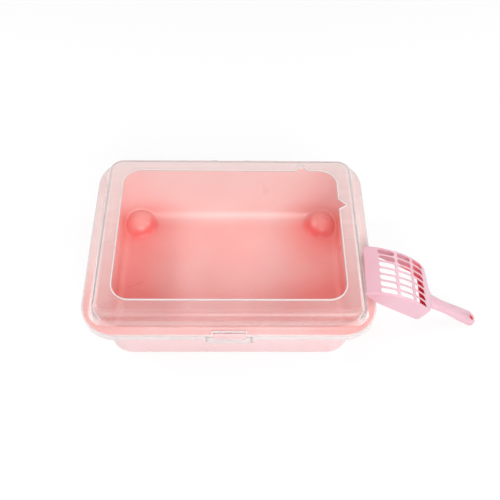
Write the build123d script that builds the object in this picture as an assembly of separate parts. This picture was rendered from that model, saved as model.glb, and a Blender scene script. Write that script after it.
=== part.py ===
from build123d import *
import os
from math import asin, atan2, cos, degrees, hypot, radians, sin, sqrt, tan

os.makedirs("parts", exist_ok=True)

# A cat litter tray with a clip-on splash cover and a scoop that leans on its right side.
# Sizes are in millimetres. X runs along the long side, the front is at -Y and Z is up.
# The pieces are drawn about the middle of the tray. When they are written, they move along X so that the
# origin is on the floor, under the middle of the whole set.

# Cover sizes
cover_width = 460.0
cover_depth = 352.0
cover_corner = 56.0
cover_wall = 2.0
lip_height = 14.4
flange_width = 12.5
flange_edge_round = 2.6
rim_rise = 27.4
rim_foot_corner = 31.0
rim_lean = 20.0
rim_shoulder = 11.0
opening_inset = 48.5
opening_corner = 29.0
bead_width = 2.2
bead_height = 0.9

# Cat ear notches in the cover's opening, either side of its back right corner
ear_width = 20.0
ear_height = 12.5
ear_skew = 2.0
ear_tip_round = 1.2
back_ear_from_corner = 57.5
side_ear_from_corner = 71.5

# Snap windows in the lip, front and back, each over a grip tab
window_width = 50.0
window_ledge = 5.3
window_drop = 12.0
window_frame = 2.4
frame_height = 0.9
tab_width = 75.0
tab_drop = 9.0
tab_round = 8.0
tab_proud = 1.2

# Tray sizes
tray_height = 122.7
tray_wall = 2.2
tray_draft = 7.4
tray_corner = 52.6
rim_shelf = 12.6
rim_skirt = 10.0
floor_round = 12.0
base_round = 6.0
dome_radius = 31.0
dome_height = 24.0
dome_from_side = 57.0
dome_from_back = 55.0
foot_height = 2.0
foot_width = 4.0
foot_inset = 3.0
foot_reach = 34.0
lug_sink = 0.6

# Scoop sizes, in its own frame: x from tip to handle end, z out of the bowl's back
scoop_length = 255.0
scoop_width = 94.0
scoop_wall = 2.0
scoop_draft = 6.0
tip_height = 8.4
tip_slope_length = 23.0
tip_corner = 4.0
crown_at = 64.0
crown_height = 33.0
brow_at = 118.0
brow_height = 25.6
heel_slope = 0.4
bowl_square_to = 121.0
bowl_corner = 15.0
bowl_bend_at = 135.0
bowl_bend_width = 53.0
bowl_bend = 22.0
bowl_length = 150.0
deck_from = 121.0
handle_root_width = 26.0
handle_waist_width = 22.0
handle_waist_at = 175.0
handle_end_width = 28.0
handle_thickness = 8.5
handle_round = 4.0
slot_length = 27.2
slot_width = 9.4
slot_corner = 3.8
slot_step = 31.5
slot_row_step = 12.3
slot_columns = 3
slot_rows = 7
slots_from = 19.2
slot_margin = 4.5
hang_hole_radius = 4.2
hang_hole_from_end = 11.0

# How the scoop leans on the cover
scoop_from_front = 107.3
scoop_turn = -3.4
tip_past_foot = 10.7

# Clearances between pieces
lip_gap = 0.4
seat_gap = 0.3
window_gap = 0.5
rest_gap = 0.3


def slab(width, depth, corner, bottom, top):
    """A rounded rectangle on the Z axis, carried straight up."""
    return extrude(Plane.XY.offset(bottom) * RectangleRounded(width, depth, corner), top - bottom)


def narrowing_up(width, depth, corner, bottom, top, angle):
    """A rounded rectangle that draws in towards its top."""
    sketch = Plane.XY.offset(bottom) * RectangleRounded(width, depth, corner)
    return extrude(sketch, top - bottom, taper=angle)


def narrowing_down(width, depth, corner, bottom, top, angle):
    """A rounded rectangle, sized at its top, that draws in towards its bottom."""
    sketch = Plane((0, 0, top), z_dir=(0, 0, -1)) * RectangleRounded(width, depth, corner)
    return extrude(sketch, top - bottom, taper=angle)


def round_end(solid, axis_place, radius):
    """Rounds the edges of the top face (-1) or the bottom face (0)."""
    return fillet(solid.faces().sort_by(Axis.Z)[axis_place].edges(), radius)


# Heights and outlines that the pieces share
flange_top = tray_height + seat_gap + cover_wall
flange_under = flange_top - cover_wall
rim_inset = cover_wall + lip_gap
rim_width = cover_width - 2 * rim_inset
rim_depth = cover_depth - 2 * rim_inset
rim_corner = cover_corner - rim_inset
mouth_width = rim_width - 2 * rim_shelf
mouth_depth = rim_depth - 2 * rim_shelf
draft_in = (tray_height - foot_height) * tan(radians(tray_draft))
base_width = mouth_width - 2 * draft_in
base_depth = mouth_depth - 2 * draft_in
base_corner = tray_corner - draft_in

# Tray: the drafted outside and the hollow inside it
wall_across = tray_wall / cos(radians(tray_draft))
floor_top = foot_height + tray_wall
tray_outside = narrowing_down(mouth_width, mouth_depth, tray_corner, foot_height, tray_height, tray_draft)
tray_outside = round_end(tray_outside, 0, base_round)
hollow_size = (mouth_width - 2 * wall_across, mouth_depth - 2 * wall_across, tray_corner - wall_across)
tray_hollow = narrowing_down(*hollow_size, floor_top, tray_height, tray_draft)
tray_hollow = round_end(tray_hollow, 0, floor_round)

# Tray: a dome in each corner of the floor, hollow from below
dome_sphere = (dome_radius**2 + dome_height**2) / (2 * dome_height)
dome_centre = floor_top + dome_height - dome_sphere
dome_x = cover_width / 2 - dome_from_side
dome_y = cover_depth / 2 - dome_from_back
dome_places = [Pos(x, y, dome_centre) for x in (-dome_x, dome_x) for y in (-dome_y, dome_y)]
domes = Part() + [place * Sphere(dome_sphere) for place in dome_places]
wells = Part() + [place * Sphere(dome_sphere - tray_wall) for place in dome_places]
well_inset = foot_inset + foot_width + 1
well_zone = slab(
    base_width - 2 * well_inset,
    base_depth - 2 * well_inset,
    base_corner - well_inset,
    -dome_sphere,
    floor_top + dome_height,
)

# Tray: the rim that carries the cover, with its turned-down skirt
rim_plate = slab(rim_width, rim_depth, rim_corner, tray_height - tray_wall, tray_height)
skirt_outside = slab(rim_width, rim_depth, rim_corner, tray_height - rim_skirt, tray_height)
skirt_inside = slab(
    rim_width - 2 * tray_wall,
    rim_depth - 2 * tray_wall,
    rim_corner - tray_wall,
    tray_height - rim_skirt,
    tray_height,
)

# Tray: the foot rib round each corner of the base
foot_top = foot_height + tray_wall - 0.5
foot_outside = slab(
    base_width - 2 * foot_inset,
    base_depth - 2 * foot_inset,
    base_corner - foot_inset,
    0,
    foot_top,
)
rib_inset = foot_inset + foot_width
foot_inside = slab(
    base_width - 2 * rib_inset,
    base_depth - 2 * rib_inset,
    base_corner - rib_inset,
    0,
    foot_top,
)
corner_x = base_width / 2 - foot_reach / 2
corner_y = base_depth / 2 - foot_reach / 2
foot_zones = Part() + [
    Pos(x, y, foot_height) * Box(foot_reach, foot_reach, 4 * foot_height)
    for x in (-corner_x, corner_x)
    for y in (-corner_y, corner_y)
]
feet = (foot_outside - foot_inside) & foot_zones

# Tray: the lug that fills each snap window of the cover
lug_width = window_width - 2 * window_gap
lug_depth = window_ledge - rim_inset - window_gap
lug_bottom = tray_height - rim_skirt
lug_top = flange_top - lug_sink
lug = Box(lug_width, lug_depth, lug_top - lug_bottom, align=(Align.CENTER, Align.MIN, Align.MIN))
lug_front = Pos(0, -rim_depth / 2, lug_bottom) * lug
lug_back = lug_front.rotate(Axis.Z, 180)

tray = tray_outside + rim_plate + (skirt_outside - skirt_inside) + feet
tray = tray - (tray_hollow - domes) - (wells & well_zone) + lug_front + lug_back

# Cover: the flange with its lip, hollow below
flange_outside = slab(cover_width, cover_depth, cover_corner, flange_top - lip_height, flange_top)
flange_outside = round_end(flange_outside, -1, flange_edge_round)
flange_inside = slab(
    cover_width - 2 * cover_wall,
    cover_depth - 2 * cover_wall,
    cover_corner - cover_wall,
    flange_top - lip_height,
    flange_under,
)

# Cover: the raised rim, which leans in from its foot and is hollow below
rim_top = flange_top + rim_rise
lean_below = cover_wall * tan(radians(rim_lean))
rim_foot = flange_width - lean_below
rim_outside = narrowing_up(
    cover_width - 2 * rim_foot,
    cover_depth - 2 * rim_foot,
    rim_foot_corner + lean_below,
    flange_under,
    rim_top,
    rim_lean,
)
rim_outside = round_end(rim_outside, -1, rim_shoulder)
lean_across = cover_wall / cos(radians(rim_lean))
rim_inside = narrowing_up(
    cover_width - 2 * (rim_foot + lean_across),
    cover_depth - 2 * (rim_foot + lean_across),
    rim_foot_corner + lean_below - lean_across,
    flange_under,
    rim_top - cover_wall,
    rim_lean,
)
rim_inside = round_end(rim_inside, -1, rim_shoulder - cover_wall)

# Cover: the opening with its two cat ear notches, and the bead round it
opening_x = cover_width / 2 - opening_inset
opening_y = cover_depth / 2 - opening_inset


def ear(skew):
    """A notch that stands on the line y = 0 and points to +y, rounded at its tip."""
    foot = (-ear_width / 2, -opening_corner / 4), (ear_width / 2, -opening_corner / 4)
    base = (ear_width / 2, 0), (skew, ear_height), (-ear_width / 2, 0)
    outline = make_face(Polyline(*foot, *base, close=True))
    tip = outline.vertices().sort_by(Axis.Y)[-1]
    return fillet(tip, ear_tip_round)


back_ear = Pos(opening_x - back_ear_from_corner, opening_y) * ear(-ear_skew)
side_ear = Pos(opening_x, opening_y - side_ear_from_corner) * Rot(0, 0, -90) * ear(ear_skew)
opening = RectangleRounded(2 * opening_x, 2 * opening_y, opening_corner) + back_ear + side_ear
bead = offset(opening, bead_width)
opening_cut = extrude(Plane.XY.offset(flange_under) * opening, rim_rise + 2 * cover_wall)
bead_ring = extrude(Plane.XY.offset(rim_top - cover_wall) * bead, cover_wall + bead_height)

# Cover: the grip tab and raised frame of each snap window
tab_height = lip_height + tab_drop - flange_edge_round
tab_sketch = RectangleRounded(tab_width, 2 * tab_height, tab_round)
tab_start = (0, -cover_depth / 2 + cover_wall, flange_top - flange_edge_round)
tab_plane = Plane(tab_start, x_dir=(1, 0, 0), z_dir=(0, -1, 0))
tab_block = extrude(tab_plane * tab_sketch, cover_wall + tab_proud)
below_edge = Box(tab_width, cover_depth, tab_height, align=(Align.CENTER, Align.CENTER, Align.MAX))
tab_front = tab_block & (Pos(0, 0, flange_top - flange_edge_round) * below_edge)
frame_width = window_width + 2 * window_frame
frame_depth = window_ledge + window_frame + tab_proud
frame_drop = flange_edge_round + cover_wall / 2
frame_block = Box(frame_width, frame_depth, frame_height + frame_drop, align=(Align.CENTER, Align.MIN, Align.MIN))
frame_front = Pos(0, -cover_depth / 2 - tab_proud, flange_top - frame_drop) * frame_block
frame_front = frame_front - Pos(0, 0, flange_under) * Box(
    frame_width,
    cover_depth - 2 * cover_wall,
    lip_height,
    align=(Align.CENTER, Align.CENTER, Align.MAX),
)
window_depth = window_ledge + tab_proud
window_height = window_drop + frame_height
window_front = Pos(0, -cover_depth / 2 - tab_proud, flange_top - window_drop) * Box(
    window_width,
    window_depth,
    window_height,
    align=(Align.CENTER, Align.MIN, Align.MIN),
)
clips = Part() + [tab_front, frame_front, tab_front.rotate(Axis.Z, 180), frame_front.rotate(Axis.Z, 180)]

cover = flange_outside + rim_outside + clips + bead_ring
cover = cover - flange_inside - rim_inside - opening_cut
cover = cover - window_front - window_front.rotate(Axis.Z, 180)

# Scoop: the bowl's side view under its curved floor, and its outline from above
handle_seat = handle_thickness - scoop_wall


def side_view(drop):
    """The area under the bowl's floor, lowered by drop, carried across the whole width."""
    tip = (0, tip_height - drop)
    crown = (crown_at, crown_height - drop)
    brow = (brow_at, brow_height - drop)
    root = (bowl_length, handle_seat - drop)
    back = Spline(tip, crown, brow, root, tangents=((1, 1), (1, -heel_slope)), tangent_scalars=(0.8, 0.8))
    sides = Polyline(root, (bowl_length, -drop), (0, -drop), tip)
    return extrude(Plane.XZ * make_face(back + sides), scoop_width / 2, both=True)


half_root = handle_root_width / 2
bowl_plan = make_face(
    Polyline(
        (0, -scoop_width / 2),
        (bowl_square_to, -scoop_width / 2),
        (bowl_bend_at, -bowl_bend_width / 2),
        (bowl_length, -half_root),
        (bowl_length, half_root),
        (bowl_bend_at, bowl_bend_width / 2),
        (bowl_square_to, scoop_width / 2),
        (0, scoop_width / 2),
        close=True,
    )
)
bowl_corners = [v for v in bowl_plan.vertices() if abs(v.X - bowl_square_to) < 1]
bowl_plan = fillet(bowl_corners, bowl_corner)
bowl_bends = [v for v in bowl_plan.vertices() if abs(v.X - bowl_bend_at) < 1]
bowl_plan = fillet(bowl_bends, bowl_bend)
tip_corners = [v for v in bowl_plan.vertices() if v.X < 1]
bowl_plan = fillet(tip_corners, tip_corner)
bowl_outside = side_view(0) & extrude(bowl_plan, crown_height + 5, taper=scoop_draft)
bowl_core = offset(bowl_plan, -scoop_wall)
bowl_inside = side_view(scoop_wall) & extrude(bowl_core, crown_height + 5, taper=scoop_draft)
above_lip = Box(bowl_length, scoop_width, crown_height, align=(Align.MIN, Align.CENTER, Align.MIN))
bowl_inside = bowl_inside & (Pos(0, 0, scoop_wall) * above_lip)
mouth_zone = Box(deck_from, scoop_width, 3 * scoop_wall, align=(Align.MIN, Align.CENTER, Align.CENTER))
bowl_mouth = extrude(bowl_core, scoop_wall) & mouth_zone

# Scoop: the side walls run out to nothing at the tip
tip_cut = extrude(
    Plane.XZ
    * make_face(
        Polyline(
            (-1, -1),
            (-1, tip_height - scoop_wall),
            (0, tip_height - scoop_wall),
            (tip_slope_length, 0),
            (tip_slope_length, -1),
            close=True,
        )
    ),
    scoop_width,
    both=True,
)

# Scoop: the hollow handle, closed below like the deck that joins it to the bowl
handle_start = bowl_length - 12
end_centre = scoop_length - handle_end_width / 2


def handle_plan(inset):
    """The handle from above, drawn in by inset all round."""
    root = half_root - inset
    waist = handle_waist_width / 2 - inset
    end = handle_end_width / 2 - inset
    upper = Spline((handle_start, root), (handle_waist_at, waist), (end_centre, end), tangents=((1, 0), (1, 0)))
    cap = ThreePointArc((end_centre, end), (end_centre + end, 0), (end_centre, -end))
    lower = Spline((end_centre, -end), (handle_waist_at, -waist), (handle_start, -root), tangents=((-1, 0), (-1, 0)))
    return make_face(upper + cap + lower + Line((handle_start, -root), (handle_start, root)))


handle_outside = extrude(handle_plan(0), handle_thickness)
handle_top = handle_outside.faces().sort_by(Axis.Z)[-1]
handle_outside = fillet(handle_top.edges().sort_by(Axis.X)[1:], handle_round)
handle_inside = extrude(Plane.XY.offset(scoop_wall) * handle_plan(scoop_wall), handle_thickness - 2 * scoop_wall)

# Scoop: the rows of sieve slots, and the hole the scoop hangs by
slot_centre = slots_from + slot_length / 2 + slot_step * (slot_columns - 1) / 2
slot_grid = Pos(slot_centre, 0) * GridLocations(slot_step, slot_row_step, slot_columns, slot_rows)
slot_sketch = Sketch() + slot_grid * RectangleRounded(slot_length, slot_width, slot_corner)
slot_zone = offset(bowl_plan, -slot_margin)
slots = extrude(Plane.XY.offset(2 * scoop_wall) * (slot_sketch & slot_zone), crown_height + 5)
hole_at = scoop_length - hang_hole_from_end
hang_hole = Pos(hole_at, 0) * Cylinder(hang_hole_radius, 4 * handle_thickness)

scoop = bowl_outside + handle_outside
scoop = scoop - bowl_inside - bowl_mouth - handle_inside - tip_cut - slots - hang_hole

# Scoop: it lies on the rounded outer edge of the flange and on the floor at its handle's end
edge_centre = flange_top - flange_edge_round
edge_reach = flange_edge_round + rest_gap
scoop_overhang = flange_width + tip_past_foot
run = (scoop_length - scoop_overhang) * cos(radians(scoop_turn))
pitch = atan2(edge_reach, run) + asin((edge_centre - rest_gap) / hypot(run, edge_reach))
touch_x = cover_width / 2 - flange_edge_round + edge_reach * sin(pitch)
touch_z = edge_centre + edge_reach * cos(pitch)
down_slope = Vector(cos(pitch), 0, -sin(pitch))
out_of_slope = Vector(sin(pitch), 0, cos(pitch))
along = down_slope.rotate(Axis((0, 0, 0), out_of_slope), scoop_turn)
scoop_y = scoop_from_front - cover_depth / 2
scoop_tip = Vector(touch_x, scoop_y, touch_z) - down_slope * scoop_overhang
scoop_plane = Plane(origin=scoop_tip, x_dir=along, z_dir=out_of_slope)
scoop = scoop.moved(scoop_plane.location)

# The whole set, moved so that the origin is under its middle, between the cover's left side and the handle's end
set_middle = (scoop.bounding_box().max.X - cover_width / 2) / 2
to_origin = Pos(-set_middle, 0, 0)
export_step(to_origin * tray, "parts/tray.step")
export_step(to_origin * cover, "parts/cover.step")
export_step(to_origin * scoop, "parts/scoop.step")

hole_middle = to_origin * Pos(scoop_plane.from_local_coords((hole_at, 0, handle_thickness / 2)))
foot_ring = base_corner - rib_inset + foot_width / 2
foot_turn = sqrt(0.5) * foot_ring
foot_middle = (base_width / 2 - base_corner + foot_turn - set_middle, base_depth / 2 - base_corner + foot_turn)
print("scoop pitch", round(degrees(pitch), 3), "tip", scoop_tip, "along", along)
print("set middle", set_middle, "hole middle", hole_middle.position, "hole axis", out_of_slope)
print("middle of the back right foot's face", foot_middle)
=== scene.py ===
import math

import bmesh
import bpy
import numpy as np
from bpy.props import FloatProperty, FloatVectorProperty, IntProperty, PointerProperty
from mathutils import Matrix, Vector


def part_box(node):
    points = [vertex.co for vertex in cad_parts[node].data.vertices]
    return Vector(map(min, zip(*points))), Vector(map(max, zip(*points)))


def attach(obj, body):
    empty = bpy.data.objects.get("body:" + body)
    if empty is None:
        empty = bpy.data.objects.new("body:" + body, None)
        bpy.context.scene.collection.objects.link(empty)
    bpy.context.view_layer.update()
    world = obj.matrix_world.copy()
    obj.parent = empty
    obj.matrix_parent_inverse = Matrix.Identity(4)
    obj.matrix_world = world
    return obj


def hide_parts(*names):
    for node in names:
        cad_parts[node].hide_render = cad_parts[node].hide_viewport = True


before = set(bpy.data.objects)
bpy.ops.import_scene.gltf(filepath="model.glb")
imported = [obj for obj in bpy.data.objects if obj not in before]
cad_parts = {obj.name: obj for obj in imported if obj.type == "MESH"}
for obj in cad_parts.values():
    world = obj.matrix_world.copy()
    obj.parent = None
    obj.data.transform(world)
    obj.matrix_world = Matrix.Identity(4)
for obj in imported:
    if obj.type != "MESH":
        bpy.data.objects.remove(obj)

bl_info = {
    "name": "Cat litter tray with splash cover and scoop",
    "version": (1, 0, 0),
    "blender": (4, 5, 0),
    "location": "3D View > Sidebar > Litter tray",
    "description": "A pink moulded tray, its translucent clip-on cover and a slotted scoop",
    "category": "Object",
}

MM = 0.001
cover_low, cover_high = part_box("cover")
tray_low, tray_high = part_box("tray")
MIDDLE = np.array([(cover_low.x + cover_high.x) / 2, 0.0, 0.0])
# Where the scoop leans: its tip, the way along it and the way out of its slope
SCOOP_TIP = np.array([0.209408, -0.0687, 0.137331])
SCOOP_ALONG = np.array([0.841309, -0.059306, -0.537291])
SCOOP_OUT = np.array([0.538239, 0.0, 0.842793])
# The round ejector marks on the cover's front, in millimetres from the tray's middle
EJECTOR_MARKS = ((-162, -141.5), (-65, -141.5), (61.5, -141.5))


def length(name, description, millimetres):
    """A length property whose default is given in millimetres."""
    settings = {"unit": "LENGTH", "subtype": "DISTANCE", "precision": 5}
    return FloatProperty(name=name, description=description, default=millimetres * MM, **settings)


def angle(name, description, degrees):
    """An angle property whose default is given in degrees."""
    return FloatProperty(name=name, description=description, default=math.radians(degrees), subtype="ANGLE")


def colour(name, description, value):
    """A colour property with plain linear values."""
    settings = {"size": 3, "min": 0.0, "max": 1.0, "subtype": "COLOR"}
    return FloatVectorProperty(name=name, description=description, default=value, **settings)


def watts(name, description, value):
    """A lamp's power."""
    return FloatProperty(name=name, description=description, default=value, subtype="POWER")


# Sizes and colours


class TraySizes(bpy.types.PropertyGroup):
    """The tray's own sizes."""

    height: length("Height", "Top of the rim above the floor", tray_high.z / MM - 1.7)
    wall: length("Wall", "Thickness of the moulding", 2.2)
    draft: angle("Draft", "Lean of the walls", 7.4)
    straight_x: length("Straight half length", "Half length between the corner centres", 162.4)
    straight_y: length("Straight half depth", "Half depth between the corner centres", 108.4)
    corner: length("Mouth corner", "Corner radius at the mouth", 52.6)
    shelf: length("Rim shelf", "Width of the flat rim", 12.6)
    shelf_shift: length("Rim corner shift", "How far the rim's corner centres move out", 11.6)
    skirt: length("Skirt", "Height of the turned-down skirt", 10.0)
    floor_round: length("Floor round", "Radius between floor and wall inside", 12.0)
    base_round: length("Base round", "Radius between floor and wall outside", 6.0)
    foot: length("Foot", "Height of the foot ribs", 2.0)
    dome_radius: length("Dome radius", "Radius of a dome where it meets the floor", 31.0)
    dome_height: length("Dome height", "Height of a dome above the floor", 24.0)
    dome_x: length("Dome place X", "Dome centre from the middle", 173.0)
    dome_y: length("Dome place Y", "Dome centre from the middle", 121.0)
    dome_blend: length("Dome blend", "Radius where a dome meets the floor and walls", 4.0)


class CoverSizes(bpy.types.PropertyGroup):
    """The cover's own sizes."""

    width: length("Width", "Outside width of the lip", cover_high.x / MM - cover_low.x / MM)
    depth: length("Depth", "Outside depth of the lip", 352.0)
    corner: length("Corner", "Outside corner radius", 56.0)
    wall: length("Wall", "Thickness of the moulding", 2.0)
    flange_top: length("Flange top", "Height of the flange's top", 125.0)
    lip: length("Lip", "Height of the lip", 14.4)
    edge_round: length("Edge round", "Radius of the flange's outer edge", 2.6)
    foot_inset: length("Rim foot inset", "Foot of the raised rim, in from the lip", 12.5)
    rise: length("Rim rise", "Height of the raised rim", 27.4)
    lean: angle("Rim lean", "Lean of the raised rim", 20.0)
    shoulder: length("Shoulder", "Radius of the raised rim's shoulder", 14.0)
    opening_inset: length("Opening inset", "Opening edge, in from the lip", 48.5)
    opening_corner: length("Opening corner", "Corner radius of the opening", 29.0)
    bead: length("Bead", "Width of the bead round the opening", 2.2)
    bead_height: length("Bead height", "How far the bead stands up", 0.9)
    ear_width: length("Ear width", "Width of a cat ear notch", 20.0)
    ear_height: length("Ear height", "Height of a cat ear notch", 12.5)
    ear_skew: length("Ear skew", "How far an ear's tip leans from its corner", 2.0)
    back_ear: length("Back ear", "Middle of the ear in the back edge", 124.0)
    side_ear: length("Side ear", "Middle of the ear in the right edge", 56.0)
    window: length("Window", "Width of a snap window", 50.0)
    window_ledge: length("Window ledge", "Depth of a snap window on the flange", 5.3)
    window_drop: length("Window drop", "Depth of a snap window in the lip", 12.0)
    tab: length("Tab", "Width of a grip tab", 75.0)
    tab_drop: length("Tab drop", "How far a grip tab hangs below the lip", 9.0)
    tab_proud: length("Tab proud", "How far a grip tab stands out", 1.2)


class ScoopSizes(bpy.types.PropertyGroup):
    """The scoop's own sizes, along its length from the tip."""

    half_width: length("Half width", "Half width at the free edges", 47.0)
    wall: length("Wall", "Thickness of the moulding", 1.4)
    draft: angle("Draft", "Lean of the side walls", 6.0)
    edge_round: length("Edge round", "Radius between the floor and the side walls", 2.2)
    bowl: length("Bowl", "Length of the bowl", 150.0)
    slot_length: length("Slot length", "Length of a sieve slot", 27.2)
    slot_width: length("Slot width", "Width of a sieve slot", 9.7)
    slot_corner: length("Slot corner", "Corner radius of a sieve slot", 4.2)
    slot_step: length("Slot step", "Distance between columns of slots", 31.5)
    slot_row_step: length("Slot row step", "Distance between rows of slots", 12.3)
    slots_from: length("Slots from", "Where the first column starts", 19.2)
    deck_from: length("Deck from", "Where the deck behind the bowl's mouth starts", 127.0)
    columns: IntProperty(name="Columns", description="Columns of slots", default=3, min=1)
    rows: IntProperty(name="Rows", description="Rows of slots", default=7, min=1)
    handle_end: length("Handle end", "Half width of the handle's round end", 14.0)
    handle_thick: length("Handle thickness", "Thickness of the handle", 8.5)
    total: length("Length", "Whole length of the scoop", 255.0)
    hole: length("Hanging hole", "Radius of the hanging hole", 4.2)
    hole_from_end: length("Hole from end", "Middle of the hanging hole from the end", 11.0)


class Finish(bpy.types.PropertyGroup):
    """The colours of the plastics."""

    tray: colour("Tray pink", "Colour of the tray", (0.90, 0.70, 0.675))
    # Deep pink painted where the tray's inside lies in shade; the clouds also mix it in at random.
    tray_shade_and_cloud: colour("Tray deep pink", "Second colour of the tray's plastic", (0.84, 0.25, 0.23))
    # A paler copy of the tray's pink for its outside, feet and lugs: painted light for the sheen on the lit
    # outer walls.
    tray_outside: colour("Outside pink", "Colour of the tray's polished outside", (0.90, 0.63, 0.64))
    tray_outside_deep: colour("Outside deep pink", "Second colour of the tray's outside", (0.89, 0.60, 0.61))
    # Painted shade: the dark red put on each dome's inner front side, which faces away from the lamps.
    tray_dome_shade: colour("Tray dome shade", "Red that shows where the pink lights itself", (0.82, 0.09, 0.09))
    edge: colour("Cover edge", "Colour of the cover's thick edges", (0.90, 0.87, 0.86))
    edge_deep: colour("Cover edge shade", "Second colour of the cover's edges", (0.88, 0.83, 0.82))
    cover: colour("Cover", "Milky colour of the cover", (0.92, 0.89, 0.88))
    cover_deep: colour("Cover shade", "Second colour of the cover's plastic", (0.89, 0.85, 0.84))
    scoop: colour("Scoop pink", "Colour of the scoop", (0.80, 0.51, 0.585))
    # Painted shade near the scoop's tip and on its bowl's inside; the clouds also mix it in at random.
    scoop_shade_and_cloud: colour("Scoop deep pink", "Second colour of the scoop's plastic", (0.74, 0.37, 0.44))
    # Dark red painted where the scoop's inside lies in shade: the bowl's closed end, the deck and the hanging
    # hole.
    scoop_inside: colour("Scoop inside", "Colour of the scoop's shaded inside", (0.95, 0.15, 0.20))
    scoop_inside_deep: colour("Scoop inside shade", "Second colour of the scoop's inside", (0.92, 0.12, 0.16))
    floor: colour("Floor", "Colour of the studio floor", (0.93, 0.93, 0.93))


class Studio(bpy.types.PropertyGroup):
    """The stage's lamps and lens."""

    lens: FloatProperty(name="Lens", description="Focal length on a 36 mm sensor", default=48.363)
    key_power: watts("Front lamp", "Power of the lamp above the camera", 28.0)
    top_power: watts("Top lamp", "Power of the lamp overhead", 6.5)
    rim_power: watts("Side lamps", "Power of the left lamp, and by its share of the right one", 9.5)
    world: FloatProperty(name="World", description="Strength of the pale world", default=0.22)


# Grids and profiles


def quads(rows, columns, wrap_rows=False, wrap_columns=True):
    """Faces of a grid: each joins a point to its neighbours in the next row and column."""
    i = np.arange(rows if wrap_rows else rows - 1)[:, None]
    j = np.arange(columns if wrap_columns else columns - 1)[None, :]
    below, right = (i + 1) % rows, (j + 1) % columns
    corners = i * columns + j, i * columns + right, below * columns + right, below * columns + j
    return np.stack(np.broadcast_arrays(*corners), -1).reshape(-1, 4)


def rounded(points, radii, steps=6):
    """A polyline whose corners become arcs that touch both runs. An arc starts radius / tan(half the
    corner's angle) before its corner, and its middle lies on the line that halves the angle."""
    points = np.asarray(points, float)
    out = [points[:1]]
    for corner, before, after, radius in zip(points[1:-1], points[:-2], points[2:], radii):
        if radius == 0:
            out.append(corner[None])
            continue
        u, v = before - corner, after - corner
        u, v = u / np.linalg.norm(u), v / np.linalg.norm(v)
        half = math.acos(np.clip(u @ v, -1, 1)) / 2
        middle = corner + (u + v) / np.linalg.norm(u + v) * radius / math.sin(half)
        start, end = corner + u * radius / math.tan(half), corner + v * radius / math.tan(half)
        a, b = (start - middle) / radius, (end - middle) / radius
        sweep = math.acos(np.clip(a @ b, -1, 1))
        t = np.linspace(0, 1, steps + 1)[:, None]
        out.append(middle + radius * (np.sin((1 - t) * sweep) * a + np.sin(t * sweep) * b) / math.sin(sweep))
    out.append(points[-1:])
    return np.concatenate(out)


def divided(profile, longest):
    """The same polyline with its long runs divided into equal steps no longer than the given one."""
    runs = np.linalg.norm(np.diff(profile, axis=0), axis=1)
    steps = np.maximum(1, np.ceil(runs / longest - 1e-6)).astype(int)
    place = np.concatenate([i + np.arange(n) / n for i, n in enumerate(steps)] + [[len(profile) - 1]])
    index = np.arange(len(profile))
    return np.stack([np.interp(place, index, profile[:, k]) for k in range(profile.shape[1])], 1)


def smooth(t):
    """0 below 0, 1 above 1 and a soft S between."""
    t = np.clip(t, 0, 1)
    return t * t * (3 - 2 * t)


def curve(x, knots, heights):
    """A smooth line through the knots: cubic pieces whose slopes are those of the neighbouring knots."""
    knots, heights = np.asarray(knots, float), np.asarray(heights, float)
    slopes = np.gradient(heights, knots)
    i = np.clip(np.searchsorted(knots, x, side="right") - 1, 0, len(knots) - 2)
    step = knots[i + 1] - knots[i]
    t = np.clip((x - knots[i]) / step, 0, 1)
    rise = (1 + 2 * t) * (1 - t) ** 2 * heights[i] + t * t * (3 - 2 * t) * heights[i + 1]
    return rise + step * t * (1 - t) * ((1 - t) * slopes[i] - t * slopes[i + 1])


def around(half_x, half_y, corner, sides, arc_steps, hold=(0.0, 0.0)):
    """Rounded rectangles, one per row. Each side's samples run on the straight between the corner centres:
    within hold they keep their place, beyond it they stretch with the row. A corner's points turn evenly on
    its radius. The order is right side, back, left, front, against the clock."""
    half_x, half_y, corner = (np.atleast_1d(v)[:, None] for v in (half_x, half_y, corner))
    centre = half_x - corner, half_y - corner
    turn = np.linspace(0, math.pi / 2, arc_steps + 1)[None, :]
    x, y = [], []
    for side, samples in enumerate(sides):
        samples = np.asarray(samples, float)[None, :]
        reach = np.abs(samples).max()
        run, keep = centre[(side + 1) % 2], hold[(side + 1) % 2]
        far = keep + (np.abs(samples) - keep) * (run - keep) / (reach - keep)
        place = np.where(np.abs(samples) <= keep, samples, np.sign(samples) * far)
        place = place[:, 1:-1]
        along = place if side in (0, 3) else -place
        at = np.ones_like(place)
        if side in (0, 2):
            x.append((half_x if side == 0 else -half_x) * at)
            y.append(along)
        else:
            x.append(along)
            y.append((half_y if side == 1 else -half_y) * at)
        angle = turn + side * math.pi / 2
        x.append(centre[0] * (1 if side in (0, 3) else -1) + corner * np.cos(angle))
        y.append(centre[1] * (1 if side in (0, 1) else -1) + corner * np.sin(angle))
    return np.concatenate(x, 1), np.concatenate(y, 1)


def spread(reach, step, dense):
    """Samples from -reach to reach at the given step, closer together in each dense (from, to, step)
    range."""
    marks = [np.linspace(-reach, reach, 2 * max(1, round(reach / step)) + 1)]
    for low, high, fine in dense:
        marks[0] = marks[0][(marks[0] < low - fine / 2) | (marks[0] > high + fine / 2)]
        marks.append(np.linspace(low, high, max(1, round((high - low) / fine)) + 1))
    return np.unique(np.concatenate(marks).round(7))


def capped(rings):
    """The points and faces of a tube with the given rings, whose ends fans close to their middles."""
    ends = rings[[0, -1]].mean(1, keepdims=True) * np.ones((1, rings.shape[1], 1))
    rings = np.concatenate([ends[:1], rings, ends[1:]])
    return rings.reshape(-1, 3), quads(*rings.shape[:2])


def swept(path, side, profile, closed):
    """A profile carried along a level path: each point is the path's, plus the profile's first number along
    side and its second upwards. An open path's ends are capped."""
    points = path[:, None] + profile[None, :, :1] * side[:, None]
    points[..., 2] += profile[None, :, 1]
    if closed:
        return points.reshape(-1, 3), quads(len(path), len(profile), wrap_rows=True)
    return capped(points)


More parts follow.
